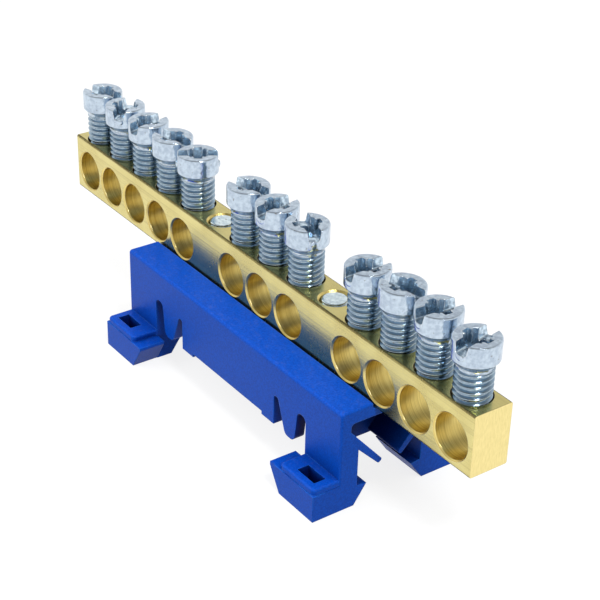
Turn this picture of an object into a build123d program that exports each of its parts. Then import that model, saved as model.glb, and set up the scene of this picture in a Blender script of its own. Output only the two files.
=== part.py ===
from build123d import *

import math
import os

# Neutral terminal bar: a brass bar with raised clamp screws, held in a moulded rail bracket.
# Millimetres, +Z up. X runs along the bar, Y along the wires. X = 0 is the middle of the bar,
# Y = 0 its middle plane, and Z = 0 the surface under the bracket's feet.

# Brass bar
bar_width = 6.0
bar_height = 9.0
bar_edge_radius = 0.3
left_margin = 3.7  # from the bar's left end to the first wire hole
right_margin = 4.0  # from the last wire hole to the bar's right end
hole_counts = [5, 3, 4]  # wire holes in each group, from the left
hole_pitch = 7.0
fixing_pitch = 6.6  # from a fixing screw to the wire hole on either side of it
wire_hole_diameter = 6.1
wire_hole_height = 3.9  # from the bar's underside to the hole's axis
wire_hole_chamfer = 0.15
screw_fit = 0.05  # radial clearance of a plain shank in a hole of the thread's size

# Clamp screws, M5
clamp_thread = 5.0
clamp_mouth_chamfer = 0.15
clamp_shank_length = 6.3  # from the tip to the cone under the head
clamp_tip_chamfer = 0.4
clamp_cone_height = 0.9
clamp_head_diameter = 6.2
clamp_head_height = 2.85
clamp_head_chamfer = 0.15
clamp_slot_width = 1.5
clamp_slot_depth = 1.4
recess_span = 3.7  # tip to tip of the star recess
recess_arm_width = 1.35
recess_notch_span = 3.1  # tip to tip of the notches between its arms
recess_notch_width = 0.75
recess_depth = 2.2
# Each screw as it stands, from the left: from the bar's top to the lower rim of its head
clamp_lifts = [5.34, 5.4, 5.4, 5.4, 5.32, 5.53, 5.61, 5.63, 5.24, 5.75, 5.92, 5.33]
# Direction of each screw's slot, in degrees from the bar's length
clamp_turns = [17, -50, -70, 5, 54, 5, -70, -20, -80, 1, -82, -71]

# Fixing screws, M4
fixing_thread = 4.0
fixing_length = 10.0
fixing_end_chamfer = 0.35
fixing_head_diameter = 7.0
fixing_head_height = 2.6
fixing_head_chamfer = 0.7
fixing_slot_width = 1.2
fixing_slot_depth = 1.2
fixing_mouth_chamfer = 0.3
plate_hole_clearance = 0.2  # radial, round the screw in the plate

# Bracket: trough and side walls
seat_height = 14.4  # from the surface that the feet stand on to the trough's floor
bracket_length = 53.5
bracket_width = 16.6
wall_thickness = 1.6
wall_edge_radius = 0.3  # at the bracket's ends
plate_thickness = 1.2
lip_height = 0.8  # the bar sits this deep in the trough
lip_clearance = 0.3  # from the bar's side to the lip
lip_edge_radius = 0.5
hollow_radius = 0.6
middle_wall_height = 5.4  # from the feet's surface to the middle wall's foot
middle_recess_height = 5.9
middle_recess_length = 17.6

# Bracket: legs, and the slots and sprung fingers between them
leg_length = 7.7
outer_slot_height = 10.4
outer_slot_width = 1.85
outer_slot_mouth = 2.5
outer_slot_radius = 0.85
finger_root_width = 4.55
finger_tip_width = 2.15
finger_tip_radius = 1.0
inner_slot_height = 10.1
inner_slot_width = 0.95
inner_slot_radius = 0.4
cross_wall_thickness = 1.15
cross_wall_height = 5.2  # from the feet's surface to the cross wall's lower edge

# Bracket: jaws in the legs that take a flat bar
jaw_width = 10.7
jaw_hook_height = 3.1
jaw_hook_reach = 1.57
jaw_hook_drop = 0.2
jaw_mouth_width = 11.6
tongue_drop = 1.24  # from the plate's underside to the tongue's root
tongue_angle = 48.6
tongue_taper = 3.5
tongue_length = 8.2
tongue_tip_thickness = 0.8
tongue_tip_radius = 0.3

# Bracket: feet, with hooks for the edges of a mounting rail
rail_width = 35.0
rail_grip = 0.5  # each hook reaches this far over the rail's edge
rail_play = 1.2  # between a hook's ledge and the finger above it
foot_reach = 4.2  # from the side wall to the foot's outer face
foot_ledge_height = 4.05
foot_hook_lip = 0.5
foot_hook_heel = 0.1
pad_height = 0.9
pad_inset = 0.1
pad_corner_radius = 0.7
pad_edge_radius = 0.35
window_length = 3.7
window_width = 1.8
window_offset = 2.1  # from the side wall's face to the window's middle
window_end_distance = 3.3  # from the leg's outer end to the window's middle

# Extra length by which a cutting shape passes the face that it opens
overcut = 1.0


def lay_out_bar():
    """Distances from the bar's left end to its wire holes, its fixing screws and its right end."""
    wires = []
    fixings = []
    x = left_margin
    for count in hole_counts:
        wires += [x + index * hole_pitch for index in range(count)]
        fixings.append(wires[-1] + fixing_pitch)
        x = fixings[-1] + fixing_pitch
    return wires, fixings[:-1], wires[-1] + right_margin


wire_stops, fixing_stops, bar_length = lay_out_bar()
wire_places = [stop - bar_length / 2 for stop in wire_stops]
fixing_places = [stop - bar_length / 2 for stop in fixing_stops]
bracket_middle = (fixing_places[0] + fixing_places[-1]) / 2

bar_top = seat_height + bar_height
wire_axis_height = seat_height + wire_hole_height
plate_underside = seat_height - plate_thickness
lip_top = seat_height + lip_height
wall_outside = bracket_width / 2
wall_inside = wall_outside - wall_thickness
leg_end = bracket_length / 2
leg_face = leg_end - leg_length
foot_outside = wall_outside + foot_reach


def mirrored(half):
    """Corners (a, b, radius) of a closed outline, from those on its positive side."""
    return half + [(-a, b, radius) for a, b, radius in reversed(half)]


def outline(corners):
    """Closed line through corners (a, b, radius), in the current sketch."""
    points = [(a, b) for a, b, radius in corners]
    radii = [radius for a, b, radius in corners]
    FilletPolyline(points, radius=radii, close=True)


def save(part, name):
    """Label a finished part and write its STEP file."""
    part.label = name
    export_step(part, f"parts/{name}.step")


def make_bar():
    """Extruded brass bar with cross holes for wires and tapped holes from above."""
    with BuildPart() as bar:
        with BuildSketch(Plane.YZ.offset(-bar_length / 2)):
            with Locations((0, seat_height + bar_height / 2)):
                RectangleRounded(bar_width, bar_height, bar_edge_radius)
        extrude(amount=bar_length)

        # Wire holes through the bar
        with BuildSketch(Plane.XZ):
            with Locations([(x, wire_axis_height) for x in wire_places]):
                Circle(wire_hole_diameter / 2)
        extrude(amount=bar_width / 2, both=True, mode=Mode.SUBTRACT)
        wire_rims = bar.edges(Select.LAST).filter_by(GeomType.CIRCLE)
        chamfer(wire_rims, wire_hole_chamfer)

        # Tapped holes for the clamp screws, from the top down into the wire holes
        with Locations([(x, 0, bar_top) for x in wire_places]):
            CounterSinkHole(
                radius=clamp_thread / 2,
                counter_sink_radius=clamp_thread / 2 + clamp_mouth_chamfer,
                depth=bar_top - wire_axis_height,
                counter_sink_angle=90,
            )

        # Tapped holes for the fixing screws, right through
        with Locations([(x, 0, bar_top) for x in fixing_places]):
            CounterSinkHole(
                radius=fixing_thread / 2,
                counter_sink_radius=fixing_thread / 2 + fixing_mouth_chamfer,
                counter_sink_angle=90,
            )
    return bar.part


def make_clamp_screw(x, lift, turn):
    """Screw with a slotted head, a star recess, a cone under the head and a blunt tip."""
    head = Plane((x, 0, bar_top + lift)).rotated((0, 0, turn))
    head_radius = clamp_head_diameter / 2
    shank_radius = clamp_thread / 2 - screw_fit
    tip = -clamp_cone_height - clamp_shank_length
    with BuildPart() as screw:
        with BuildSketch(Plane(head.origin, x_dir=head.x_dir, z_dir=-head.y_dir)):
            with BuildLine():
                Polyline(
                    (0, tip),
                    (shank_radius - clamp_tip_chamfer, tip),
                    (shank_radius, tip + clamp_tip_chamfer),
                    (shank_radius, -clamp_cone_height),
                    (head_radius, 0),
                    (head_radius, clamp_head_height - clamp_head_chamfer),
                    (head_radius - clamp_head_chamfer, clamp_head_height),
                    (0, clamp_head_height),
                    close=True,
                )
            make_face()
        revolve(axis=Axis((x, 0, 0), (0, 0, 1)))

        # Slot across the head
        with BuildSketch(head.offset(clamp_head_height)):
            Rectangle(clamp_head_diameter + overcut, clamp_slot_width)
        extrude(amount=-clamp_slot_depth, mode=Mode.SUBTRACT)

        # Star recess in the middle of the slot
        with BuildSketch(head.offset(clamp_head_height)):
            for quarter in (0, 90):
                Rectangle(recess_span, recess_arm_width, rotation=quarter)
                Rectangle(recess_notch_span, recess_notch_width, rotation=quarter + 45)
        extrude(amount=-recess_depth, mode=Mode.SUBTRACT)
    return screw.part


def make_fixing_screw(x):
    """Screw driven up through the plate, with its head against the plate's underside."""
    seat = Plane((x, 0, plate_underside))
    head_radius = fixing_head_diameter / 2
    shank_radius = fixing_thread / 2 - screw_fit
    with BuildPart() as screw:
        with BuildSketch(Plane(seat.origin, x_dir=seat.x_dir, z_dir=-seat.y_dir)):
            with BuildLine():
                Polyline(
                    (0, -fixing_head_height),
                    (head_radius - fixing_head_chamfer, -fixing_head_height),
                    (head_radius, fixing_head_chamfer - fixing_head_height),
                    (head_radius, 0),
                    (shank_radius, 0),
                    (shank_radius, fixing_length - fixing_end_chamfer),
                    (shank_radius - fixing_end_chamfer, fixing_length),
                    (0, fixing_length),
                    close=True,
                )
            make_face()
        revolve(axis=Axis((x, 0, 0), (0, 0, 1)))

        # Slot across the head
        with BuildSketch(seat.offset(-fixing_head_height)):
            Rectangle(fixing_head_diameter + overcut, fixing_slot_width)
        extrude(amount=fixing_slot_depth, mode=Mode.SUBTRACT)
    return screw.part


def trough_section():
    """Section of the trough and its side walls, across the bar."""
    lip = bar_width / 2 + lip_clearance
    return mirrored(
        [
            (lip, seat_height, 0),
            (lip, lip_top, 0),
            (wall_outside, lip_top, lip_edge_radius),
            (wall_outside, 0, 0),
            (wall_inside, 0, 0),
            (wall_inside, plate_underside, hollow_radius),
        ]
    )


def side_opening():
    """Opening between the legs, seen from the side, with the slots that free the fingers."""
    finger_foot = foot_ledge_height + rail_play
    root_outside = leg_face - outer_slot_width
    root_inside = root_outside - finger_root_width
    tip_outside = leg_face - outer_slot_mouth
    tip_inside = tip_outside - finger_tip_width
    slot_end = root_inside - inner_slot_width
    recess_end = middle_recess_length / 2
    return mirrored(
        [
            (recess_end, middle_recess_height, 0),
            (recess_end, middle_wall_height, 0),
            (slot_end, middle_wall_height, 0),
            (slot_end, inner_slot_height, inner_slot_radius),
            (root_inside, inner_slot_height, inner_slot_radius),
            (tip_inside, finger_foot, finger_tip_radius),
            (tip_outside, finger_foot, finger_tip_radius),
            (root_outside, outer_slot_height, outer_slot_radius),
            (leg_face, outer_slot_height, outer_slot_radius),
            (leg_face, -overcut, 0),
        ]
    )


def jaw_section():
    """Section of one side of a leg: sloping tongue, straight jaw and the hook at its foot."""
    upper_angle = math.radians(tongue_angle)
    lower_angle = math.radians(tongue_angle - tongue_taper)
    root_height = plate_underside - tongue_drop
    upper_y = wall_inside - tongue_length * math.cos(upper_angle)
    upper_z = root_height - tongue_length * math.sin(upper_angle)
    lower_y = upper_y + tongue_tip_thickness * math.sin(upper_angle)
    lower_z = upper_z - tongue_tip_thickness * math.cos(upper_angle)
    jaw = jaw_width / 2
    hook = jaw - jaw_hook_reach
    return [
        (wall_outside, root_height, 0),
        (wall_inside, root_height, 0),
        (upper_y, upper_z, tongue_tip_radius),
        (lower_y, lower_z, tongue_tip_radius),
        (jaw, lower_z + (jaw - lower_y) * math.tan(lower_angle), 0),
        (jaw, jaw_hook_height, 0),
        (hook, jaw_hook_height - jaw_hook_drop, 0),
        (jaw_mouth_width / 2, 0, 0),
        (wall_outside, 0, 0),
    ]


def foot_section():
    """Side view of a foot on the right: a block with a hook that reaches in over the rail."""
    hook_tip = rail_width / 2 - rail_grip
    return [
        (leg_end, 0, 0),
        (leg_end, foot_ledge_height, 0),
        (hook_tip, foot_ledge_height, 0),
        (hook_tip, foot_ledge_height - foot_hook_lip, 0),
        (leg_face + foot_hook_heel, 0, 0),
    ]


def make_pads(plan):
    """Raised pads on the four feet, with rounded rims, reaching into the side walls."""
    pad_end = leg_end - pad_inset
    pad_outside = foot_outside - pad_inset
    with BuildPart() as pads:
        with BuildSketch(plan.offset(foot_ledge_height)):
            with BuildLine():
                outline(
                    [
                        (leg_face, wall_inside, 0),
                        (pad_end, wall_inside, 0),
                        (pad_end, pad_outside, pad_corner_radius),
                        (leg_face, pad_outside, pad_corner_radius),
                    ]
                )
            make_face()
            mirror(about=Plane.YZ)
            mirror(about=Plane.XZ)
        extrude(amount=pad_height)
        rims = pads.edges().group_by(Axis.Z)[-1]
        fillet(rims.filter_by(lambda rim: abs(rim.center().Y) > wall_inside + pad_inset), pad_edge_radius)
    return pads.part


def make_bracket():
    """One moulding: trough, side walls with sprung fingers, two legs and four hooked feet."""
    plan = Plane((bracket_middle, 0, 0))
    side = Plane(plan.origin, x_dir=(1, 0, 0), z_dir=(0, -1, 0))
    across = Plane(plan.origin, x_dir=(0, 1, 0), z_dir=(1, 0, 0))
    pads = make_pads(plan)
    with BuildPart() as bracket:
        with BuildSketch(across):
            with BuildLine():
                outline(trough_section())
            make_face()
        extrude(amount=bracket_length / 2, both=True)

        # Opening between the legs, cut through both side walls
        with BuildSketch(side):
            with BuildLine():
                outline(side_opening())
            make_face()
        extrude(amount=wall_outside + overcut, both=True, mode=Mode.SUBTRACT)

        # Legs: a cross wall on the inner side, and the tongues and hooks of the jaw
        for direction in (1, -1):
            with BuildSketch(across.offset(direction * leg_face)):
                with Locations((0, (cross_wall_height + plate_underside) / 2)):
                    Rectangle(2 * wall_inside, plate_underside - cross_wall_height)
            extrude(amount=direction * cross_wall_thickness)
            with BuildSketch(across.offset(direction * leg_face)):
                with BuildLine():
                    outline(jaw_section())
                make_face()
                mirror(about=Plane.YZ)
            extrude(amount=direction * leg_length)

        # Feet outside the walls, with their rail hooks
        for direction in (1, -1):
            with BuildSketch(side.offset(direction * wall_outside)):
                with BuildLine():
                    outline(foot_section())
                make_face()
                mirror(about=Plane.YZ)
            extrude(amount=direction * foot_reach)

        # Rounded corners of the trough and the walls at both ends
        ends = bracket.edges().filter_by(lambda edge: abs(abs(edge.center().X - bracket_middle) - leg_end) < 0.01)
        corners = ends.filter_by(
            lambda edge: abs(edge.center().Y) > wall_outside - lip_edge_radius
            and foot_ledge_height < edge.center().Z
        )
        fillet(corners, wall_edge_radius)

        add(pads)

        # Windows down through the pads and feet
        pad_top = foot_ledge_height + pad_height
        window_x = leg_end - window_end_distance
        window_y = wall_outside + window_offset
        with BuildSketch(plan.offset(pad_top)):
            with GridLocations(2 * window_x, 2 * window_y, 2, 2):
                Rectangle(window_length, window_width)
        extrude(amount=-pad_top, mode=Mode.SUBTRACT)

        # Holes in the plate for the fixing screws
        with BuildSketch(Plane.XY.offset(plate_underside)):
            with Locations([(x, 0) for x in fixing_places]):
                Circle(fixing_thread / 2 + plate_hole_clearance)
        extrude(amount=plate_thickness, mode=Mode.SUBTRACT)
    return bracket.part


os.makedirs("parts", exist_ok=True)
save(make_bar(), "brass_bar")
for number, (x, lift, turn) in enumerate(zip(wire_places, clamp_lifts, clamp_turns), start=1):
    save(make_clamp_screw(x, lift, turn), f"clamp_screw_{number:02d}")
for place, side_name in zip(fixing_places, ("left", "right")):
    save(make_fixing_screw(place), f"fixing_screw_{side_name}")
save(make_bracket(), "rail_bracket")
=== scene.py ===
"""Neutral terminal bar: the finished look of a brass bar with twelve clamp screws on a moulded rail bracket.

Lengths are in millimetres in the classes below and become metres when a mesh is made.
"""

from __future__ import annotations

import logging
import math
from contextlib import contextmanager
from dataclasses import dataclass
from enum import Enum
from typing import Callable, Iterator, Sequence

import bmesh
import bpy
from mathutils import Matrix, Vector

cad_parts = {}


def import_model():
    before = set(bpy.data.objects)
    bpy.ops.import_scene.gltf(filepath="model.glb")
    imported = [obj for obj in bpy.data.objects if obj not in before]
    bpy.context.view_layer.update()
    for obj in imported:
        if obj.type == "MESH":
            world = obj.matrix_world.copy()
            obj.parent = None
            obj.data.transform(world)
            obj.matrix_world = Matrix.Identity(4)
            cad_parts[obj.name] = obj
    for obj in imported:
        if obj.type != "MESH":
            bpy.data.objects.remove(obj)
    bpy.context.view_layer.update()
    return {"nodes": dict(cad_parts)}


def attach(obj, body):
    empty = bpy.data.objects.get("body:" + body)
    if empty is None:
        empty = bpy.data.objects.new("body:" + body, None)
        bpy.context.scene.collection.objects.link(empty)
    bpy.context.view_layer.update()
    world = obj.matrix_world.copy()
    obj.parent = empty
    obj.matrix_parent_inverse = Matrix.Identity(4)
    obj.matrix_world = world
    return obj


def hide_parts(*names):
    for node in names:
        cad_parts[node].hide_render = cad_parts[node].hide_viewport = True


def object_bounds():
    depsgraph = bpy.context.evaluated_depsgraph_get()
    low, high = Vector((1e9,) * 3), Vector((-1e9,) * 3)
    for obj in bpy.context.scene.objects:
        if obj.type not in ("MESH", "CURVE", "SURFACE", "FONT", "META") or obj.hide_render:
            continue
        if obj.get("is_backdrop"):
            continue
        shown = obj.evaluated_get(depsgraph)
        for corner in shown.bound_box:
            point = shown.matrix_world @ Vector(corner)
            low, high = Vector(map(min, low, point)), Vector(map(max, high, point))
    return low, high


LOG = logging.getLogger("terminal_bar")
MM = 0.001
Piece, Material = bpy.types.Object, bpy.types.Material
Node, Value, Outputs = bpy.types.Node, bpy.types.NodeSocket, bpy.types.NodeOutputs
Marks = tuple[Value, Value, Value]  # a colour, a roughness and a height

# A thread's profile over one turn: shares of the groove's depth and of the pitch.
THREAD_PROFILE = (
    (0.0, 0.0), (0.0, 0.14), (0.94, 0.41), (1.0, 0.45), (1.0, 0.59), (0.94, 0.63), (0.0, 0.9), (0.0, 1.0),
)
THREAD_STEPS = 48
SPARE_TURNS = 1.5
CREST_ROOM = 0.05  # how far a trimming tool clears a thread's crests
SPARE = 0.5  # how far a cutting tool stands out of what it cuts
CLOSE = 1e-6  # in metres: points nearer to each other than this are one
SLIVER = 1e-8


# Modelling by hand


class Cut(Enum):
    """What a tool does to a piece."""

    AWAY = "DIFFERENCE"
    JOIN = "UNION"
    TRIM = "INTERSECT"


def select_only(*pieces: Piece) -> None:
    """Deselects everything, then selects the pieces and makes the first one active.

    Args:
        pieces: The objects that the next operator works on.
    """
    for other in bpy.context.selected_objects:
        other.select_set(False)
    for piece in pieces:
        piece.select_set(True)
    bpy.context.view_layer.objects.active = pieces[0]


def started(name: str, add: Callable[..., set], **settings: object) -> Piece:
    """Adds a primitive and names it.

    Args:
        name: The name of the new object and its mesh.
        add: The primitive's operator.
        settings: What the operator is given.

    Returns:
        The new object.
    """
    for other in bpy.context.selected_objects:
        other.select_set(False)
    add(**settings)
    piece = bpy.context.active_object
    piece.name = piece.data.name = name
    return piece


@contextmanager
def editing(piece: Piece, kind: str = "FACE") -> Iterator[bmesh.types.BMesh]:
    """Opens a piece in edit mode with nothing selected.

    Args:
        piece: The object to shape.
        kind: What is picked, VERT, EDGE or FACE.

    Yields:
        The edit mesh.
    """
    select_only(piece)
    bpy.ops.object.mode_set(mode="EDIT")
    bpy.ops.mesh.select_mode(type=kind)
    bpy.ops.mesh.select_all(action="DESELECT")
    yield bmesh.from_edit_mesh(piece.data)
    bpy.ops.object.mode_set(mode="OBJECT")


def pick(piece: Piece, parts: Sequence, test: Callable[[object], bool]) -> None:
    """Selects the vertices, edges or faces that pass a test.

    Args:
        piece: The object in edit mode.
        parts: The sequence of vertices, edges or faces.
        test: Says whether one of them is wanted.
    """
    for part in parts:
        if test(part):
            part.select_set(True)
    bmesh.update_edit_mesh(piece.data)


def place(piece: Piece) -> Piece:
    """Puts a piece's place, turn and size into its mesh.

    Args:
        piece: The object.

    Returns:
        The same object, at the origin.
    """
    select_only(piece)
    bpy.ops.object.transform_apply(location=True, rotation=True, scale=True)
    return piece


def modified(piece: Piece, kind: str, **settings: object) -> Piece:
    """Adds a modifier to a piece and applies it.

    Args:
        piece: The object.
        kind: The modifier's type.
        settings: The modifier's values.

    Returns:
        The same object.
    """
    select_only(piece)
    bpy.ops.object.modifier_add(type=kind)
    modifier = piece.modifiers[-1]
    for key, value in settings.items():
        setattr(modifier, key, value)
    bpy.ops.object.modifier_apply(modifier=modifier.name)
    return piece


def combined(piece: Piece, tool: Piece, how: Cut) -> Piece:
    """Cuts a piece with a tool, or joins or trims them, and removes the tool.

    Args:
        piece: The object that stays.
        tool: The object that cuts or is joined on.
        how: What the tool does.

    Returns:
        The piece.
    """
    modified(piece, "BOOLEAN", operation=how.value, object=tool, solver="EXACT", material_mode="TRANSFER")
    bpy.data.objects.remove(tool)
    return piece


def turned(name: str, stations: Sequence[tuple[float, float]], sides: int) -> Piece:
    """Makes a turned solid about Z by extruding a disc from station to station.

    Args:
        name: The new object's name.
        stations: Pairs of radius and height in millimetres, lowest first.
        sides: The number of facets round the axis.

    Returns:
        The closed solid.
    """
    radius, height = stations[0]
    spot = {"radius": radius * MM, "location": (0, 0, height * MM)}
    piece = started(name, bpy.ops.mesh.primitive_circle_add, vertices=sides, fill_type="NGON", **spot)
    place(piece)
    with editing(piece):
        bpy.ops.mesh.select_all(action="SELECT")
        for next_radius, next_height in stations[1:]:
            rise = (next_height - height) * MM
            bpy.ops.mesh.extrude_region_move(TRANSFORM_OT_translate={"value": (0, 0, rise)})
            grow = next_radius / radius
            centre = (0, 0, next_height * MM)
            bpy.ops.transform.resize(value=(grow, grow, 1), center_override=centre)
            radius, height = next_radius, next_height
        bpy.ops.mesh.select_all(action="SELECT")
        bpy.ops.mesh.normals_make_consistent(inside=False)
    return piece


def block(name: str, size: Sequence[float], centre: Sequence[float]) -> Piece:
    """Makes a box.

    Args:
        name: The new object's name.
        size: Its three sides in millimetres.
        centre: Its middle in millimetres.

    Returns:
        The box.
    """
    middle = tuple(value * MM for value in centre)
    piece = started(name, bpy.ops.mesh.primitive_cube_add, size=MM, location=middle)
    piece.scale = size
    return place(piece)


def tapered(piece: Piece, share: float, height: float) -> None:
    """Narrows the lower end of a piece that stands along Z.

    Args:
        piece: The object.
        share: How wide the lower end stays, from 0 to 1.
        height: The height in millimetres below which its points move.
    """
    with editing(piece, "VERT") as mesh:
        pick(piece, mesh.verts, lambda point: point.co.z < height * MM)
        bpy.ops.transform.resize(value=(share, share, 1), center_override=(0, 0, height * MM))


def threaded(name: str, radius: float, pitch: float, depth: float, bottom: float, top: float) -> Piece:
    """Makes a screw thread about Z, closed at both ends.

    Args:
        name: The new object's name.
        radius: The radius over the crests in millimetres.
        pitch: The rise of one turn.
        depth: The depth of the groove.
        bottom: The height of the lower end.
        top: The height of the upper end.

    Returns:
        The threaded solid.
    """
    piece = started(name, bpy.ops.mesh.primitive_plane_add, size=MM, location=(0, 0, 0))
    with editing(piece, "VERT"):
        bpy.ops.mesh.select_all(action="SELECT")
        bpy.ops.mesh.merge(type="CENTER")
        start = ((radius - depth) * MM, 0, (bottom - SPARE_TURNS * pitch) * MM)
        bpy.ops.transform.translate(value=start)
        for before, after in zip(THREAD_PROFILE, THREAD_PROFILE[1:]):
            step = ((after[0] - before[0]) * depth * MM, 0, (after[1] - before[1]) * pitch * MM)
            bpy.ops.mesh.extrude_region_move(TRANSFORM_OT_translate={"value": step})
    turns = math.ceil((top - bottom) / pitch + 2 * SPARE_TURNS)
    modified(
        piece, "SCREW", axis="Z", angle=math.tau, screw_offset=pitch * MM, iterations=turns,
        steps=THREAD_STEPS, render_steps=THREAD_STEPS, use_merge_vertices=True, merge_threshold=CLOSE,
    )
    for height, side in ((bottom, "clear_inner"), (top, "clear_outer")):
        with editing(piece, "VERT"):
            bpy.ops.mesh.select_all(action="SELECT")
            bpy.ops.mesh.remove_doubles(threshold=2 * CLOSE)
            plane = {"plane_co": (0, 0, height * MM), "plane_no": (0, 0, 1), side: True}
            bpy.ops.mesh.bisect(use_fill=True, threshold=SLIVER, **plane)
    return cleaned(piece)


def cleaned(piece: Piece) -> Piece:
    """Merges doubles and turns every face outwards.

    Args:
        piece: The object.

    Returns:
        The same object.
    """
    with editing(piece, "VERT"):
        bpy.ops.mesh.select_all(action="SELECT")
        bpy.ops.mesh.remove_doubles(threshold=CLOSE)
        bpy.ops.mesh.normals_make_consistent(inside=False)
    return piece


def smoothed(piece: Piece, degrees: float) -> Piece:
    """Shades a piece smooth over gentle edges and keeps its flat faces flat.

    Args:
        piece: The object.
        degrees: Edges that turn by more than this stay sharp.

    Returns:
        The same object.
    """
    select_only(piece)
    bpy.ops.object.shade_smooth_by_angle(angle=math.radians(degrees))
    return modified(piece, "WEIGHTED_NORMAL", keep_sharp=True)


def copied(master: Piece, name: str) -> Piece:
    """Copies an object and its mesh.

    Args:
        master: The object to copy.
        name: The copy's name.

    Returns:
        The copy.
    """
    piece = master.copy()
    piece.data = master.data.copy()
    piece.name = piece.data.name = name
    bpy.context.scene.collection.objects.link(piece)
    return piece


def repeated(master: Piece, spots: Sequence[Sequence[float]]) -> list[Piece]:
    """Copies a piece to several places and removes the first one.

    Args:
        master: The object to copy.
        spots: The places in millimetres.

    Returns:
        The copies.
    """
    copies = []
    for spot in spots:
        piece = copied(master, master.name)
        piece.location = [value * MM for value in spot]
        copies.append(place(piece))
    bpy.data.objects.remove(master)
    return copies


def joined(pieces: Sequence[Piece]) -> Piece:
    """Joins pieces into one object.

    Args:
        pieces: The objects.

    Returns:
        The joined object.
    """
    select_only(*pieces)
    bpy.ops.object.join()
    return bpy.context.active_object


# Finishes


class Tree:
    """A node tree that is filled node by node."""

    def __init__(self, tree: bpy.types.NodeTree) -> None:
        """Keeps the tree to work on."""
        self.tree = tree

    def add(self, kind: str, settings: dict | None = None, **inputs: object) -> Node:
        """Adds a node.

        Args:
            kind: The node's type.
            settings: The node's own properties.
            inputs: Values or sockets for its inputs, with spaces written as underscores.

        Returns:
            The node.
        """
        node = self.tree.nodes.new(kind)
        for key, value in (settings or {}).items():
            setattr(node, key, value)
        for key, value in inputs.items():
            self.feed(node, key.replace("_", " "), value)
        return node

    def group(self, name: str, **inputs: object) -> Outputs:
        """Adds a shared node group with its inputs, as add does, and returns its outputs."""
        return self.add("ShaderNodeGroup", {"node_tree": bpy.data.node_groups[name]}, **inputs).outputs

    def feed(self, node: Node, key: str | int, value: object) -> None:
        """Sets one input of a node, or links a socket to it.

        Args:
            node: The node.
            key: The input's name or number.
            value: A value or a socket.
        """
        if isinstance(value, Value):
            self.tree.links.new(value, node.inputs[key])
        else:
            node.inputs[key].default_value = value

    def math(self, how: str, *values: object, clamp: bool = False) -> Value:
        """Adds a math node.

        Args:
            how: The operation.
            values: Values or sockets that it works on.
            clamp: Whether the result is kept from 0 to 1.

        Returns:
            The result.
        """
        node = self.add("ShaderNodeMath", {"operation": how, "use_clamp": clamp})
        for index, value in enumerate(values):
            self.feed(node, index, value)
        return node.outputs[0]

    def times(self, first: object, second: object) -> Value:
        """Multiplies two values and returns the result."""
        return self.math("MULTIPLY", first, second)

    def ramp(self, value: object, low: float, high: float, to: Sequence[float] = (0.0, 1.0)) -> Value:
        """Maps a value from one range to another, smoothly and clamped.

        Args:
            value: The value or its socket.
            low: Where the first range starts.
            high: Where the first range ends.
            to: The second range.

        Returns:
            The result.
        """
        node = self.add(
            "ShaderNodeMapRange", {"interpolation_type": "SMOOTHSTEP"},
            Value=value, From_Min=low, From_Max=high, To_Min=to[0], To_Max=to[1],
        )
        return node.outputs[0]

    def blend(self, factor: object, first: object, second: object) -> Value:
        """Mixes two colours.

        Args:
            factor: The share of the second colour.
            first: The first colour.
            second: The second colour.

        Returns:
            The mixed colour.
        """
        node = self.add("ShaderNodeMix", {"data_type": "RGBA"})
        for index, value in ((0, factor), (6, first), (7, second)):
            self.feed(node, index, value)
        return node.outputs[2]

    def noise(self, where: object, scale: object, detail: float = 2.0, roughness: float = 0.5) -> Value:
        """Adds a noise and returns its grey value."""
        node = self.add("ShaderNodeTexNoise", Vector=where, Scale=scale, Detail=detail, Roughness=roughness)
        return node.outputs[0]

    def stretch(self, where: object, scale: Sequence[float]) -> Value:
        """Scales coordinates along the three directions and returns them."""
        return self.add("ShaderNodeMapping", Vector=where, Scale=scale).outputs[0]

    def where(self) -> Value:
        """Adds the coordinates on the piece and returns them."""
        return self.add("ShaderNodeTexCoord").outputs["Object"]

    def normal(self) -> Value:
        """Adds the direction that the surface faces and returns it."""
        return self.add("ShaderNodeNewGeometry").outputs["Normal"]


FLOAT, COLOUR, VECTOR = "NodeSocketFloat", "NodeSocketColor", "NodeSocketVector"
KINDS = {1: FLOAT, 3: VECTOR, 4: COLOUR}


def new_group(name: str, inputs: dict[str, object], outputs: dict[str, str]) -> tuple[Tree, Outputs, Node]:
    """Makes an empty node group with named sockets.

    Args:
        name: The group's name.
        inputs: The default of each input, which also gives its type.
        outputs: The socket type of each output.

    Returns:
        The group's tree, what it is given and its output node.
    """
    tree = bpy.data.node_groups.new(name, "ShaderNodeTree")
    for title, default in inputs.items():
        kind = KINDS[len(default) if isinstance(default, tuple) else 1]
        tree.interface.new_socket(title, in_out="INPUT", socket_type=kind).default_value = default
    for title, kind in outputs.items():
        tree.interface.new_socket(title, in_out="OUTPUT", socket_type=kind)
    return Tree(tree), tree.nodes.new("NodeGroupInput").outputs, tree.nodes.new("NodeGroupOutput")


GREY = (0.5, 0.5, 0.5, 1)
EDGE_TURN = (0.998, 0.86)  # the cosine between the flat and the rounded normal, from no edge colour to full edge colour
EDGE_COLOUR_PATCHES = (0.32, 0.62)
MOTTLE = (0.3, 0.7)
FACING_UP = (0.2, 1.0)
SPECKS = (0.5, 0.75)
SPECK_SCALE = 1400.0
DUST_ROUGHNESS = 0.4


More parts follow.
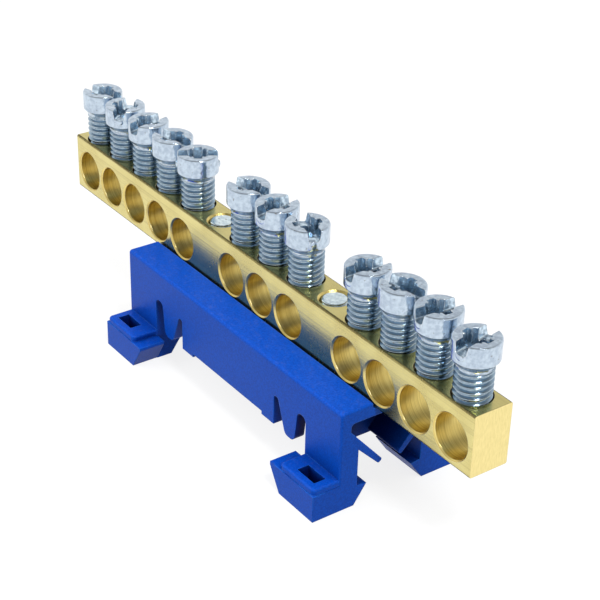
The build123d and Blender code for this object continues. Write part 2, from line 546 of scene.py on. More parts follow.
def make_edge_group() -> None:
    """Makes the edge group: rounded edges, and a colour laid there that stands for rubbing and for painted
    highlight.
    """
    tree, given, result = new_group(
        "edge_wear_and_highlight",
        {"Color": GREY, "Worn Color": GREY, "Amount": 0.5, "Radius": 0.3 * MM, "Patches": 900.0},
        {"Color": COLOUR, "Normal": VECTOR},
    )
    rounded = tree.add("ShaderNodeBevel", {"samples": 6}, Radius=given["Radius"]).outputs[0]
    turn = tree.add("ShaderNodeVectorMath", {"operation": "DOT_PRODUCT"})
    tree.feed(turn, 0, tree.normal())
    tree.feed(turn, 1, rounded)
    edge = tree.ramp(turn.outputs["Value"], *EDGE_TURN)
    patches = tree.noise(tree.where(), given["Patches"], detail=3.0)
    worn_and_lit = tree.times(edge, tree.ramp(patches, *EDGE_COLOUR_PATCHES))
    mask = tree.math("MULTIPLY", worn_and_lit, given["Amount"], clamp=True)
    # The edge colour: rubbed brass on the bar, painted highlight on the zinc, the plastic and the bore
    # mouths.
    tree.feed(result, "Color", tree.blend(mask, given["Color"], given["Worn Color"]))
    tree.feed(result, "Normal", rounded)


def make_grain_group() -> None:
    """Makes the grain group: a fine and a broad mottle of colour, roughness and height."""
    tree, given, result = new_group(
        "surface_grain",
        {
            "Color": GREY, "Second Color": GREY, "Mottle": 0.5, "Broad Scale": 200.0, "Fine Scale": 4000.0,
            "Roughness": 0.4, "Spread": 0.1,
        },
        {"Color": COLOUR, "Roughness": FLOAT, "Height": FLOAT},
    )
    where = tree.where()
    broad = tree.noise(where, given["Broad Scale"], detail=3.0)
    fine = tree.noise(where, given["Fine Scale"])
    amount = tree.times(tree.ramp(broad, *MOTTLE), given["Mottle"])
    tree.feed(result, "Color", tree.blend(amount, given["Color"], given["Second Color"]))
    both = tree.math("ADD", tree.math("SUBTRACT", broad, 0.5), tree.math("SUBTRACT", fine, 0.5))
    swing = tree.times(both, given["Spread"])
    tree.feed(result, "Roughness", tree.math("ADD", given["Roughness"], swing, clamp=True))
    tree.feed(result, "Height", fine)


def make_dust_group() -> None:
    """Makes the dust group: a pale film in specks on what faces up."""
    tree, given, result = new_group(
        "dust",
        {"Color": GREY, "Roughness": 0.4, "Dust Color": (0.6, 0.58, 0.54, 1), "Amount": 0.2},
        {"Color": COLOUR, "Roughness": FLOAT},
    )
    up = tree.add("ShaderNodeSeparateXYZ", Vector=tree.normal()).outputs[2]
    specks = tree.ramp(tree.noise(tree.where(), SPECK_SCALE, detail=4.0, roughness=0.7), *SPECKS)
    film = tree.times(tree.ramp(up, *FACING_UP), specks)
    mask = tree.math("MULTIPLY", film, given["Amount"], clamp=True)
    tree.feed(result, "Color", tree.blend(mask, given["Color"], given["Dust Color"]))
    rough = tree.math("ADD", given["Roughness"], tree.times(mask, DUST_ROUGHNESS), clamp=True)
    tree.feed(result, "Roughness", rough)


def make_line_group() -> None:
    """Makes the tool line group: fine scratches drawn out along one direction."""
    tree, given, result = new_group(
        "tool_lines",
        {"Stretch": (30.0, 3000.0, 3000.0), "Low": 0.35, "High": 0.65},
        {"Height": FLOAT, "Mask": FLOAT},
    )
    drawn = tree.add("ShaderNodeVectorMath", {"operation": "MULTIPLY"})
    tree.feed(drawn, 0, tree.where())
    tree.feed(drawn, 1, given["Stretch"])
    lines = tree.noise(drawn.outputs[0], 1.0, detail=3.0, roughness=0.6)
    tree.feed(result, "Height", lines)
    low, high = given["Low"], given["High"]
    mask = tree.add("ShaderNodeMapRange", Value=lines, From_Min=low, From_Max=high)
    tree.feed(result, "Mask", mask.outputs[0])


def started_material(name: str) -> tuple[Material, Tree, Node]:
    """Makes a material with one Principled shader.

    Args:
        name: The material's name.

    Returns:
        The material, its tree and the shader.
    """
    material = bpy.data.materials.new(name)
    material.use_nodes = True
    tree = Tree(material.node_tree)
    shader = next(node for node in material.node_tree.nodes if node.type == "BSDF_PRINCIPLED")
    return material, tree, shader


@dataclass(frozen=True)
class Finish:
    """What every finish has: a grain of two colours, an edge colour that stands for rubbing and for painted
    highlight, and a relief.
    """

    name: str
    colour: tuple
    second: tuple
    worn_and_lit: tuple
    roughness: float
    grain: tuple  # mottle, broad scale, fine scale and spread of the roughness
    wear_and_highlight: tuple  # amount, radius in millimetres and scale of the patches
    relief: tuple  # strength, and depth in millimetres
    metallic: float = 1.0
    specular: float = 0.5

    def make(self) -> Material:
        """Builds the material.

        Returns:
            The material.
        """
        material, tree, shader = started_material(self.name)
        mottle, broad, fine, spread = self.grain
        grain = tree.group(
            "surface_grain", Color=self.colour, Second_Color=self.second, Mottle=mottle, Broad_Scale=broad,
            Fine_Scale=fine, Roughness=self.roughness, Spread=spread,
        )
        colour, rough, height = self.marked(tree, grain)
        amount, radius, patches = self.wear_and_highlight
        edge = tree.group(
            "edge_wear_and_highlight", Color=colour, Worn_Color=self.worn_and_lit, Amount=amount, Radius=radius * MM,
            Patches=patches,
        )
        colour, rough = self.aged_and_shaded(tree, edge["Color"], rough)
        strength, depth = self.relief
        bump = tree.add("ShaderNodeBump", Strength=strength, Distance=depth * MM, Height=height)
        tree.feed(bump, "Normal", edge["Normal"])
        tree.feed(shader, "Base Color", colour)
        tree.feed(shader, "Roughness", rough)
        tree.feed(shader, "Metallic", self.metallic)
        tree.feed(shader, "Specular IOR Level", self.specular)
        tree.feed(shader, "Normal", bump.outputs[0])
        return material

    def marked(self, tree: Tree, grain: Outputs) -> Marks:
        """Gives the colour, the roughness and the relief's height, before the edge colour is laid on."""
        return grain["Color"], grain["Roughness"], grain["Height"]

    def aged_and_shaded(self, tree: Tree, colour: Value, rough: Value) -> tuple[Value, Value]:
        """Gives the colour and the roughness after the edge colour; the plastic adds dust and painted shade
        here.
        """
        return colour, rough


@dataclass(frozen=True)
class BrassFinish(Finish):
    """Drawn brass with fine lines along the bar, and sawn ends painted paler: a fresh-cut tone and painted
    light.
    """

    name: str = "drawn_brass"
    colour: tuple = (0.74, 0.65, 0.27, 1)
    second: tuple = (0.62, 0.52, 0.19, 1)
    worn_and_lit: tuple = (0.95, 0.88, 0.55, 1)
    roughness: float = 0.26
    grain: tuple = (0.6, 220.0, 1500.0, 0.06)
    wear_and_highlight: tuple = (0.8, 0.08, 1500.0)
    relief: tuple = (0.55, 0.025)
    # Paler on the sawn ends: a fresh-cut tone, and painted light on the end faces.
    sawn: tuple = (0.93, 0.78, 0.35, 1)
    dark_brass: tuple = (0.34, 0.27, 0.11, 1)
    facing_front: tuple = (0.9, 0.99)
    facing_end: tuple = (0.97, 0.999)
    line_relief: tuple = (0.7, 0.3)  # added on the front, and everywhere
    line_stain: tuple = (0.3, 0.15)
    saw_relief: float = 1.6
    saw_streaks: float = 0.35
    saw_roughness: float = 0.12
    corner: tuple = (0.1, 0.4)
    corner_darkening: float = 0.75
    corner_streak_stretch: tuple = (120.0, 2600.0, 2600.0)
    corner_streak_patches: tuple = (0.38, 0.62)

    def marked(self, tree: Tree, grain: Outputs) -> Marks:
        """Draws lines along the bar, saws its ends and paints them paler, partly as painted light, and
        darkens its long corners and edges in streaks.

        Args:
            tree: The material's tree.
            grain: The grain's colour, roughness and height.

        Returns:
            The colour, the roughness and the relief's height.
        """
        along, across, up = tree.add("ShaderNodeSeparateXYZ", Vector=tree.normal()).outputs
        front = tree.ramp(tree.math("ABSOLUTE", across), *self.facing_front)
        end = tree.ramp(tree.math("ABSOLUTE", along), *self.facing_end)
        drawn = tree.group("tool_lines", Stretch=(14.0, 2600.0, 2600.0), Low=0.52, High=0.76)
        sawn = tree.group("tool_lines", Stretch=(700.0, 4800.0, 1000.0))
        height = tree.times(drawn["Height"], tree.math("MULTIPLY_ADD", front, *self.line_relief))
        height = tree.math("ADD", height, tree.times(sawn["Height"], tree.times(end, self.saw_relief)))
        scratched = tree.times(drawn["Mask"], tree.math("MULTIPLY_ADD", front, *self.line_stain))
        colour = tree.blend(scratched, grain["Color"], self.dark_brass)
        # The sawn ends are painted paler: a fresh-cut tone, and painted light.
        colour = tree.blend(end, colour, self.sawn)
        streaks = tree.times(sawn["Mask"], tree.times(end, self.saw_streaks))
        colour = tree.blend(streaks, colour, self.second)
        # Darker in streaks along the long rounded corners, and along every edge.
        slope = tree.math("ABSOLUTE", tree.times(across, up))
        corner = tree.ramp(slope, *self.corner, to=(0.0, self.corner_darkening))
        corner_streaks = tree.noise(tree.stretch(tree.where(), self.corner_streak_stretch), 1.0, detail=3.0, roughness=0.6)
        darkened_corners = tree.times(corner, tree.ramp(corner_streaks, *self.corner_streak_patches))
        colour = tree.blend(darkened_corners, colour, self.dark_brass)
        dark_edges = tree.group(
            "edge_wear_and_highlight", Color=colour, Worn_Color=self.dark_brass, Amount=0.5, Radius=0.2 * MM,
            Patches=700.0,
        )
        rough = tree.math("ADD", grain["Roughness"], tree.times(end, self.saw_roughness))
        return dark_edges["Color"], rough, height


@dataclass(frozen=True)
class BoreFinish(Finish):
    """Bored brass: deeper in colour, with turned rings round each bore."""

    name: str = "bored_brass"
    colour: tuple = (0.92, 0.76, 0.28, 1)
    second: tuple = (0.58, 0.43, 0.12, 1)
    # Near white at the bore mouths: painted highlight on the rims.
    worn_and_lit: tuple = (0.97, 0.93, 0.76, 1)
    roughness: float = 0.33
    grain: tuple = (0.5, 300.0, 1500.0, 0.08)
    wear_and_highlight: tuple = (1.0, 0.13, 900.0)
    relief: tuple = (1.0, 0.03)
    ring_stain: float = 0.7

    def marked(self, tree: Tree, grain: Outputs) -> Marks:
        """Turns the rings.

        Args:
            tree: The material's tree.
            grain: The grain's colour, roughness and height.

        Returns:
            The colour, the roughness and the relief's height.
        """
        rings = tree.group("tool_lines", Stretch=(60.0, 5200.0, 60.0), Low=0.42, High=0.62)
        colour = tree.blend(tree.times(rings["Mask"], self.ring_stain), grain["Color"], self.second)
        return colour, grain["Roughness"], rings["Height"]


@dataclass(frozen=True)
class ZincFinish(Finish):
    """Bright zinc plating with a bluish cast, small dents and dark specks."""

    name: str = "zinc_plating"
    colour: tuple = (0.57, 0.67, 0.77, 1)
    second: tuple = (0.41, 0.49, 0.60, 1)
    # Near white along the edges: painted highlight on the head rims and recess edges.
    worn_and_lit: tuple = (0.97, 0.99, 1.0, 1)
    roughness: float = 0.16
    grain: tuple = (0.8, 1500.0, 3000.0, 0.2)
    wear_and_highlight: tuple = (1.0, 0.12, 600.0)
    relief: tuple = (0.8, 0.06)
    dent_scale: tuple = (1000.0, 1000.0, 1000.0)
    speck: tuple = (0.20, 0.18, 0.15, 1)
    speck_scale: float = 1900.0
    speck_span: tuple = (0.68, 0.73)
    speck_share: float = 0.7

    def marked(self, tree: Tree, grain: Outputs) -> Marks:
        """Dents and specks the plating.

        Args:
            tree: The material's tree.
            grain: The grain's colour, roughness and height.

        Returns:
            The colour, the roughness and the relief's height.
        """
        where = tree.where()
        specks = tree.ramp(tree.noise(where, self.speck_scale), *self.speck_span, to=(0.0, self.speck_share))
        dents = tree.noise(tree.stretch(where, self.dent_scale), 1.0, detail=4.0, roughness=0.6)
        return tree.blend(specks, grain["Color"], self.speck), grain["Roughness"], dents


@dataclass(frozen=True)
class PlasticFinish(Finish):
    """Satin blue moulded plastic with a fine spark texture, paler edges painted as highlight, and painted
    shade in its hollows.
    """

    name: str = "blue_moulding"
    colour: tuple = (0.001, 0.066, 0.48, 1)
    second: tuple = (0.003, 0.108, 0.69, 1)
    # Paler blue along the edges: painted highlight.
    worn_and_lit: tuple = (0.020, 0.200, 0.92, 1)
    roughness: float = 0.42
    grain: tuple = (0.7, 4500.0, 6500.0, 0.10)
    wear_and_highlight: tuple = (0.9, 0.22, 400.0)
    relief: tuple = (0.4, 0.02)
    metallic: float = 0.0
    specular: float = 0.14
    # Painted shade: the dark blue that the hollows are darkened to.
    hollow_shade: tuple = (0.0, 0.006, 0.09, 1)
    dust: float = 0.05
    shade_reach: float = 9.0
    shade_span: tuple = (0.2, 0.88)

    def aged_and_shaded(self, tree: Tree, colour: Value, rough: Value) -> tuple[Value, Value]:
        """Dusts what faces up and paints shade into the hollows from an occlusion node.

        Args:
            tree: The material's tree.
            colour: The colour with its worn edges.
            rough: The roughness.

        Returns:
            The colour and the roughness.
        """
        dusty = tree.group("dust", Color=colour, Roughness=rough, Amount=self.dust)
        closeness = {"samples": 6, "only_local": True}
        # Painted shade: the occlusion darkens the hollows towards the dark blue.
        shade = tree.add("ShaderNodeAmbientOcclusion", closeness, Distance=self.shade_reach * MM)
        lit = tree.ramp(shade.outputs["AO"], *self.shade_span)
        return tree.blend(lit, self.hollow_shade, dusty["Color"]), dusty["Roughness"]


class FinishSet:
    """Every material of the object."""

    def __init__(self) -> None:
        """Makes the node groups that the finishes share, then the materials."""
        for make_group in (make_edge_group, make_grain_group, make_dust_group, make_line_group):
            make_group()
        self.brass = BrassFinish().make()
        self.bore = BoreFinish().make()
        # A dark copy of the bored brass: painted shade in the clamp holes round each screw.
        self.tapped = BoreFinish("tapped_brass_painted_shade", (0.22, 0.17, 0.07, 1), (0.12, 0.09, 0.04, 1)).make()
        self.zinc = ZincFinish().make()
        # A darker copy of the zinc: painted shade on the threads.
        self.thread = ZincFinish(
            "zinc_thread_painted_shade", (0.31, 0.42, 0.51, 1), (0.23, 0.32, 0.42, 1), roughness=0.17, relief=(0.25, 0.06),
        ).make()
        # A paler copy of the zinc with a dark second colour: painted light on the recess and slot walls, with
        # painted shade in its dark patches.
        self.recess = ZincFinish(
            "zinc_recess_painted_light_and_shade", (0.66, 0.80, 0.91, 1), (0.20, 0.27, 0.36, 1), roughness=0.18, relief=(0.6, 0.06),
            dent_scale=(1100.0, 1100.0, 120.0),
        ).make()
        # A paler copy of the zinc: painted light on the flush screw ends.
        self.fixing = ZincFinish(
            "zinc_fixing_painted_light", (0.80, 0.92, 0.95, 1), (0.55, 0.68, 0.76, 1), relief=(0.5, 0.06),
        ).make()
        self.plastic = PlasticFinish().make()


# Pieces


def dressed(piece: Piece, material: Material) -> Piece:
    """Gives a piece one material in every slot.

    Args:
        piece: The object.
        material: Its finish.

    Returns:
        The same object.
    """
    if piece.data.materials:
        for index in range(len(piece.data.materials)):
            piece.data.materials[index] = material
    else:
        piece.data.materials.append(material)
    return piece


@dataclass(frozen=True)
class BarLayout:
    """Where the holes stand along the bar, from the groups and the pitches."""

    groups: tuple = (5, 3, 4)
    pitch: float = 7.0
    fixing_pitch: float = 6.6
    left_margin: float = 3.7
    right_margin: float = 4.0

    def stops(self) -> tuple[list[float], list[float], float]:
        """Walks along the bar.

        Returns:
            The wire holes and the fixing holes, measured from the middle of the bar, and its length.
        """
        wires: list[float] = []
        fixings: list[float] = []
        along = self.left_margin
        for number, count in enumerate(self.groups):
            wires += [along + self.pitch * index for index in range(count)]
            along = wires[-1] + self.fixing_pitch
            if number < len(self.groups) - 1:
                fixings.append(along)
                along += self.fixing_pitch
        length = wires[-1] + self.right_margin
        return [x - length / 2 for x in wires], [x - length / 2 for x in fixings], length


@dataclass
class BrassBar:
    """The drawn brass bar with its wire bores and tapped holes."""

    finishes: FinishSet
    layout: BarLayout
    width: float = 6.0
    height: float = 9.0
    seat: float = 14.4
    long_edge: float = 0.3
    long_edge_steps: int = 5
    end_edge: float = 0.07
    end_edge_steps: int = 2
    bore: float = 6.1
    bore_height: float = 3.9
    bore_mouth: float = 0.22
    clamp_hole: float = 5.3
    clamp_mouth: float = 0.05
    clamp_floor: float = 0.4  # above the middle of the wire bores, which the clamp holes open into
    fixing_hole: float = 4.1
    fixing_mouth: float = 0.3
    bore_sides: int = 96
    tap_sides: int = 64
    sharp: float = 35

    def blank(self) -> Piece:
        """Makes the bar's blank with rounded long edges.

        Returns:
            The blank.
        """
        length = self.layout.stops()[2]
        middle = (0, 0, self.seat + self.height / 2)
        bar = block("terminal_bar", (length, self.width, self.height), middle)
        with editing(bar, "EDGE") as mesh:
            pick(bar, mesh.edges, lambda edge: abs(edge.verts[0].co.x - edge.verts[1].co.x) > MM)
            bpy.ops.mesh.bevel(offset=self.long_edge * MM, segments=self.long_edge_steps, affect="EDGES")
        with editing(bar, "EDGE") as mesh:
            end = length / 2 * MM - CLOSE
            pick(bar, mesh.edges, lambda edge: all(abs(point.co.x) > end for point in edge.verts))
            bpy.ops.mesh.bevel(offset=self.end_edge * MM, segments=self.end_edge_steps, affect="EDGES")
        return bar

    def bores(self) -> Piece:
        """Makes the tool that cuts all wire bores, with their chamfered mouths.

        Returns:
            The cutting tool.
        """
        reach, radius, mouth = self.width / 2, self.bore / 2, self.bore_mouth
        flare = mouth + SPARE
        half = [(radius, reach - mouth), (radius + flare, reach + SPARE)]
        stations = [(wide, -far) for wide, far in reversed(half)] + half
        master = turned("bore_tool", stations, self.bore_sides)
        master.rotation_euler = (math.pi / 2, 0, 0)
        height = self.seat + self.bore_height
        return joined(repeated(place(master), [(x, 0, height) for x in self.layout.stops()[0]]))

    def tapped(self) -> Piece:
        """Makes the tool that cuts the holes from the top.

        Returns:
            The cutting tool.
        """
        wires, fixings, _ = self.layout.stops()
        top = self.seat + self.height
        clamp_floor, fixing_floor = self.seat + self.bore_height + self.clamp_floor, self.seat - 2 * SPARE
        kinds = (
            (wires, self.clamp_hole / 2, self.clamp_mouth, clamp_floor, self.finishes.tapped),
            (fixings, self.fixing_hole / 2, self.fixing_mouth, fixing_floor, self.finishes.bore),
        )
        tools: list[Piece] = []
        for places, radius, mouth, bottom, finish in kinds:
            stations = [(radius, bottom), (radius, top - mouth), (radius + mouth + SPARE, top + SPARE)]
            master = dressed(turned("tap_tool", stations, self.tap_sides), finish)
            tools += repeated(master, [(x, 0, 0) for x in places])
        return joined(tools)

    def build(self) -> Piece:
        """Builds and dresses the bar.

        Returns:
            The bar.
        """
        bar = dressed(self.blank(), self.finishes.brass)
        combined(bar, dressed(self.bores(), self.finishes.bore), Cut.AWAY)
        combined(bar, self.tapped(), Cut.AWAY)
        cleaned(bar)
        smoothed(bar, self.sharp)
        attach(bar, "terminal_body")
        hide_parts("brass_bar")
        return bar


@dataclass
class ClampScrew:
    """A clamp screw with a slotted head, a star recess and a coarse thread."""

    finishes: FinishSet
    thread: float = 5.0
    pitch: float = 0.8
    groove: float = 0.42
    shank: float = 6.3
    overlap: float = 0.12
    tip: tuple = (0.6, 0.5)
    cone: float = 0.9
    head: float = 6.2
    head_height: float = 2.85
    slot_width: float = 1.5
    slot_mouth: float = 2.0
    slot_depth: float = 1.4
    slot_corner: float = 0.2
    slot_corner_steps: int = 3
    recess_depth: float = 2.2
    recess_core: float = 3.0
    recess_cup: tuple = ((0.45, 0.2), (0.8, 0.0))  # shares of the core's radius, and how far under its floor
    recess_arms: tuple = ((4.5, 1.35, 0.0), (4.5, 1.35, 90.0), (3.9, 0.8, 45.0), (3.9, 0.8, 135.0))
    recess_ticks: tuple = ((3.45, 0.3, 22.5), (3.45, 0.3, 67.5), (3.45, 0.3, 112.5), (3.45, 0.3, 157.5))
    arm_taper: float = 0.72
    burr: float = 0.62
    burr_shape: tuple = (0.52, 1.15, 0.9)
    burr_inset: float = 0.14
    burr_drop: float = 0.3
    # The head's outline, lowest first: how far in from the thread or the rim, and the height above the
    # cone's foot, above the cone's top, and below the top of the head.
    neck_steps: tuple = ((0.42, -0.45), (0.12, -0.25), (0.08, 0.05))
    foot_steps: tuple = ((0.16, 0.0), (0.04, 0.06), (0.0, 0.18))
    rim_steps: tuple = ((0.0, 0.26), (0.035, 0.12), (0.12, 0.03), (0.26, 0.0))
    head_sides: int = 72
    tip_sides: int = 64
    recess_sides: int = 32
    sharp: float = 32

    def head_blank(self) -> Piece:
        """Makes the head with its cone, standing on Z = 0.

        Returns:
            The head.
        """
        neck, radius = self.thread / 2, self.head / 2
        stations = [(neck - inward, -self.cone + rise) for inward, rise in self.neck_steps]
        stations += [(radius - inward, rise) for inward, rise in self.foot_steps]
        stations += [(radius - inward, self.head_height - drop) for inward, drop in self.rim_steps]
        return turned("clamp_screw", stations, self.head_sides)

    def burrs(self) -> Piece:
        """Makes the two small swellings under the ends of the slot.

        Returns:
            Both swellings in one object.
        """
        swellings = []
        height = self.head_height - self.slot_depth - self.burr_drop
        for side in (-1, 1):
            spot = (side * (self.head / 2 - self.burr_inset) * MM, 0, height * MM)
            ball = {"segments": 20, "ring_count": 12, "radius": self.burr * MM, "location": spot}
            lump = started("burr", bpy.ops.mesh.primitive_uv_sphere_add, **ball)
            lump.scale = self.burr_shape
            swellings.append(place(lump))
        return joined(swellings)

    def slot_tool(self) -> Piece:
        """Makes the tool for the slot, with a rounded floor.

        Returns:
            The cutting tool.
        """
        flare = (self.slot_mouth - self.slot_width) / self.slot_depth
        high = self.slot_depth + 2 * SPARE
        centre = (0, 0, self.head_height + 2 * SPARE - high / 2)
        tool = block("slot_tool", (self.head + 4 * SPARE, self.slot_width, high), centre)
        floor = (self.head_height - self.slot_depth) * MM + CLOSE
        with editing(tool, "VERT") as mesh:
            pick(tool, mesh.verts, lambda point: point.co.z > floor)
            grow = 1 + flare * high / self.slot_width
            bpy.ops.transform.resize(value=(1, grow, 1), center_override=(0, 0, 0))
        with editing(tool, "EDGE") as mesh:
            low = [edge for edge in mesh.edges if all(point.co.z < floor for point in edge.verts)]
            pick(tool, low, lambda edge: abs(edge.verts[0].co.x - edge.verts[1].co.x) > MM)
            bpy.ops.mesh.bevel(offset=self.slot_corner * MM, segments=self.slot_corner_steps, affect="EDGES")
        return tool

    def recess(self, screw: Piece) -> None:
        """Cuts the star recess: a tapered cup, then each arm and tick.

        Args:
            screw: The head.
        """
        radius, top = self.recess_core / 2, self.head_height
        floor, high = top - self.recess_depth, self.recess_depth + 2 * SPARE
        stations = [(radius * share, floor - drop) for share, drop in self.recess_cup]
        stations += [(radius, top), (radius, top + 2 * SPARE)]
        tools = [turned("recess_tool", stations, self.recess_sides)]
        for length, width, turn in self.recess_arms + self.recess_ticks:
            arm = block("recess_tool", (length, width, high), (0, 0, top + 2 * SPARE - high / 2))
            tapered(arm, self.arm_taper, floor + SPARE)
            arm.rotation_euler.z = math.radians(turn)
            tools.append(place(arm))
        for tool in tools:
            combined(screw, dressed(tool, self.finishes.recess), Cut.AWAY)

    def shank_blank(self) -> Piece:
        """Makes the threaded shank with its chamfered tip.

        Returns:
            The shank.
        """
        bottom, radius = -self.cone - self.shank, self.thread / 2
        shank = threaded("shank", radius, self.pitch, self.groove, bottom, -self.cone + self.overlap)
        inward, rise = self.tip
        wide = radius + CREST_ROOM
        stations = [(radius - inward, bottom), (wide, bottom + rise), (wide, 0)]
        return combined(shank, turned("tip_tool", stations, self.tip_sides), Cut.TRIM)

    def master(self) -> Piece:
        """Makes the screw that the others are copied from, its head on Z = 0.

        Returns:
            The screw.
        """
        screw = dressed(self.head_blank(), self.finishes.zinc)
        combined(screw, dressed(self.burrs(), self.finishes.zinc), Cut.JOIN)
        combined(screw, dressed(self.slot_tool(), self.finishes.recess), Cut.AWAY)
        self.recess(screw)
        combined(screw, dressed(self.shank_blank(), self.finishes.thread), Cut.JOIN)
        cleaned(screw)
        return smoothed(screw, self.sharp)


@dataclass
class ClampScrewRow:
    """The twelve clamp screws, each at its own height and turn."""

    screw: ClampScrew
    layout: BarLayout
    bar_top: float = 23.4
    lifts: tuple = (5.34, 5.40, 5.40, 5.40, 5.32, 5.53, 5.61, 5.63, 5.24, 5.75, 5.92, 5.33)
    turns: tuple = (20, -49, -78, 12, 58, 16, -82, -17, -92, 7, -95, -80)

    def build(self) -> list[Piece]:
        """Builds the row.

        Returns:
            The screws.
        """
        master = self.screw.master()
        row = []
        for number, (x, lift, turn) in enumerate(zip(self.layout.stops()[0], self.lifts, self.turns), 1):
            screw = copied(master, f"slotted_clamp_screw_{number:02d}")
            screw.location = (x * MM, 0, (self.bar_top + lift) * MM)
            screw.rotation_euler.z = math.radians(turn)
            place(screw)
            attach(screw, f"clamp_screw_{number:02d}")
            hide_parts(f"clamp_screw_{number:02d}")
            row.append(screw)
        bpy.data.objects.remove(master)
        return row


@dataclass
class FixingScrewPair:
    """The two screws driven up through the bracket, their ends flush with the bar."""

    finishes: FinishSet
    layout: BarLayout
    thread: float = 4.0
    pitch: float = 0.7
    groove: float = 0.36
    length: float = 10.0
    top: float = 23.4
    end_chamfer: float = 0.35
    head: float = 7.0
    head_height: float = 2.6
    head_chamfer: float = 0.7
    slot_width: float = 1.2
    slot_depth: float = 1.2
    overlap: float = 0.3
    sides: int = 64
    sharp: float = 32

    def master(self) -> Piece:
        """Makes one screw at X = 0.

        Returns:
            The screw.
        """
        neck, half = self.top - self.length, self.thread / 2
        radius, low = self.head / 2, neck - self.head_height
        stations = [(radius - self.head_chamfer, low), (radius, low + self.head_chamfer), (radius, neck)]
        screw = dressed(turned("fixing_screw", stations, self.sides), self.finishes.fixing)
        size = (self.head + 4 * SPARE, self.slot_width, self.slot_depth + 2 * SPARE)
        slot = block("slot_tool", size, (0, 0, low + (self.slot_depth - 2 * SPARE) / 2))
        combined(screw, dressed(slot, self.finishes.recess), Cut.AWAY)
        shank = threaded("shank", half, self.pitch, self.groove, neck - self.overlap, self.top)
        wide, chamfer = half + CREST_ROOM, self.end_chamfer
        stations = [(wide, neck - SPARE), (wide, self.top - chamfer), (half - chamfer, self.top)]
        combined(shank, turned("end_tool", stations, self.sides), Cut.TRIM)
        combined(screw, dressed(shank, self.finishes.fixing), Cut.JOIN)
        cleaned(screw)
        return smoothed(screw, self.sharp)

    def build(self) -> list[Piece]:
        """Builds both screws.

        Returns:
            The screws.
        """
        master = self.master()
        pair = []
        for side, x in zip(("left", "right"), self.layout.stops()[1]):
            screw = copied(master, f"slotted_fixing_screw_{side}")
            screw.location.x = x * MM
            place(screw)
            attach(screw, "terminal_body")
            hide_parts(f"fixing_screw_{side}")
            pair.append(screw)
        bpy.data.objects.remove(master)
        return pair


@dataclass
class RailBracket:
    """The blue moulding, which keeps the shape of its solid."""

    finishes: FinishSet
    node: str = "rail_bracket"

    def build(self, nodes: dict[str, Piece]) -> Piece:
        """Dresses the moulding.

        Args:
            nodes: The frame's nodes by name.

        Returns:
            The moulding.
        """
        return dressed(nodes[self.node], self.finishes.plastic)


# Studio


@dataclass(frozen=True)
class Viewpoint:
    """The camera at the photograph's viewing angle."""

    place: tuple = (158.60, -109.92, 125.70)
    azimuth: float = 53.67
    elevation: float = 29.81
    roll: float = -1.54
    lens: float = 93.46
    sensor: float = 36.0
    clip: tuple = (0.01, 10.0)

    def build(self) -> None:
        """Makes the camera and hands it to the scene."""
        turn, tilt, roll = (math.radians(value) for value in (self.azimuth, self.elevation, self.roll))
        forward = Vector((-math.sin(turn) * math.cos(tilt), math.cos(turn) * math.cos(tilt), -math.sin(tilt)))
        right = forward.cross(Vector((0, 0, 1))).normalized()
        down = forward.cross(right)
        across = math.cos(roll) * right + math.sin(roll) * down
        below = math.cos(roll) * down - math.sin(roll) * right
        camera = bpy.data.objects.new("camera", bpy.data.cameras.new("camera"))
        bpy.context.scene.collection.objects.link(camera)
        camera.data.sensor_width = self.sensor
        camera.data.lens = self.lens
        camera.data.clip_start, camera.data.clip_end = self.clip
        turn_matrix = Matrix((across, -below, -forward)).transposed().to_4x4()
        camera.matrix_world = Matrix.Translation(Vector(self.place) * MM) @ turn_matrix
        bpy.context.scene.camera = camera


@dataclass(frozen=True)
class Lamp:
    """A square soft lamp that looks at the middle of the object."""

    name: str
    azimuth: float
    elevation: float
    distance: float
    size: float
    power: float
    mirrored: bool = True

    def build(self, aim: Vector) -> None:
        """Makes the lamp.

        Args:
            aim: The point that it looks at, in metres.
        """
        turn, tilt = math.radians(self.azimuth), math.radians(self.elevation)
        back = Vector((math.sin(turn) * math.cos(tilt), -math.cos(turn) * math.cos(tilt), math.sin(tilt)))
        light = bpy.data.lights.new(self.name, "AREA")
        light.shape, light.size, light.energy = "SQUARE", self.size, self.power
        lamp = bpy.data.objects.new(self.name, light)
        bpy.context.scene.collection.objects.link(lamp)
        lamp.visible_glossy = self.mirrored
        facing = (-back).to_track_quat("-Z", "Y").to_matrix().to_4x4()
        lamp.matrix_world = Matrix.Translation(aim + back * self.distance) @ facing


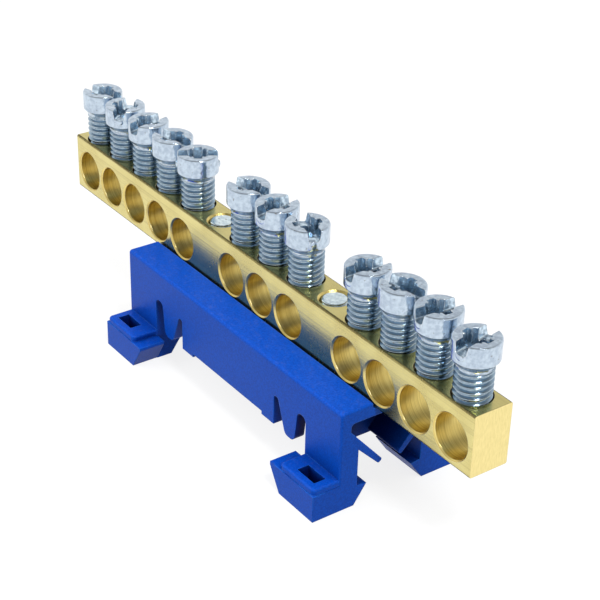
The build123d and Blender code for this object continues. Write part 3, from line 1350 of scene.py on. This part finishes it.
@dataclass
class Studio:
    """A pale floor, a white room and soft lamps."""

    floor_size: float = 6.0
    floor_gap: float = 0.02
    floor_colour: tuple = (0.22, 0.22, 0.22, 1)
    floor_light: float = 0.07
    floor_glow: float = 0.82
    floor_gloss: float = 0.84
    floor_roughness: float = 0.9
    room: tuple = (0.2, 0.85)
    room_span: tuple = (0.0, 0.9)
    room_gloss: tuple = (1.0, 0.2)
    room_gloss_span: tuple = (0.3, 0.95)
    lamps: tuple = (
        Lamp("key", 79, 56, 0.5, 0.1, 1.1),
        Lamp("left", -25, 32, 0.7, 0.5, 1.9, False),
    )

    def seen(self, tree: Tree, plain: object, camera: object, gloss: object) -> Value:
        """Adds a brightness that depends on what looks at the surface.

        Args:
            tree: The material's or world's tree.
            plain: What lights a matt surface.
            camera: What the camera sees.
            gloss: What a gloss or a clear part sees.

        Returns:
            The brightness.
        """
        path = tree.add("ShaderNodeLightPath").outputs
        mirrored = tree.math("MAXIMUM", path["Is Glossy Ray"], path["Is Transmission Ray"])
        value = plain
        for share, seen in ((mirrored, gloss), (path["Is Camera Ray"], camera)):
            mix = tree.add("ShaderNodeMix")
            for index, given in ((0, share), (2, value), (3, seen)):
                tree.feed(mix, index, given)
            value = mix.outputs[0]
        return value

    def floor(self) -> None:
        """Makes the floor."""
        spot = (0, 0, -self.floor_gap * MM)
        floor = started("floor", bpy.ops.mesh.primitive_plane_add, size=self.floor_size, location=spot)
        material, tree, shader = started_material("pale_floor")
        tree.feed(shader, "Base Color", self.floor_colour)
        tree.feed(shader, "Roughness", self.floor_roughness)
        tree.feed(shader, "Specular IOR Level", 0.0)
        tree.feed(shader, "Emission Color", (1, 1, 1, 1))
        glow = self.seen(tree, self.floor_light, self.floor_glow, self.floor_gloss)
        tree.feed(shader, "Emission Strength", glow)
        dressed(floor, material)
        floor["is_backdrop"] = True

    def world(self) -> None:
        """Makes the white room."""
        world = bpy.data.worlds.new("white_room")
        world.use_nodes = True
        bpy.context.scene.world = world
        tree = Tree(world.node_tree)
        background = next(node for node in world.node_tree.nodes if node.type == "BACKGROUND")
        tree.feed(background, "Color", (1, 1, 1, 1))
        where = tree.add("ShaderNodeTexCoord").outputs["Generated"]
        height = tree.add("ShaderNodeSeparateXYZ", Vector=where).outputs[2]
        plain = tree.ramp(height, *self.room_span, to=self.room)
        gloss = tree.ramp(height, *self.room_gloss_span, to=self.room_gloss)
        tree.feed(background, "Strength", self.seen(tree, plain, 1.0, gloss))

    def build(self) -> None:
        """Builds the floor, the room and the lamps."""
        self.world()
        self.floor()
        low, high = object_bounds()
        for lamp in self.lamps:
            lamp.build((low + high) / 2)
        bpy.context.scene.view_settings.view_transform = "Standard"


def main() -> None:
    """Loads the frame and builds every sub-assembly."""
    logging.basicConfig(level=logging.INFO, format="%(name)s: %(message)s")
    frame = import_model()
    finishes = FinishSet()
    layout = BarLayout()
    made = [BrassBar(finishes, layout).build()]
    made += ClampScrewRow(ClampScrew(finishes), layout).build()
    made += FixingScrewPair(finishes, layout).build()
    made.append(RailBracket(finishes).build(frame["nodes"]))
    for piece in made:
        LOG.info("%s: %d faces, %s", piece.name, len(piece.data.polygons), piece.data.materials[0].name)
    Viewpoint().build()
    Studio().build()


if __name__ == "__main__":
    main()
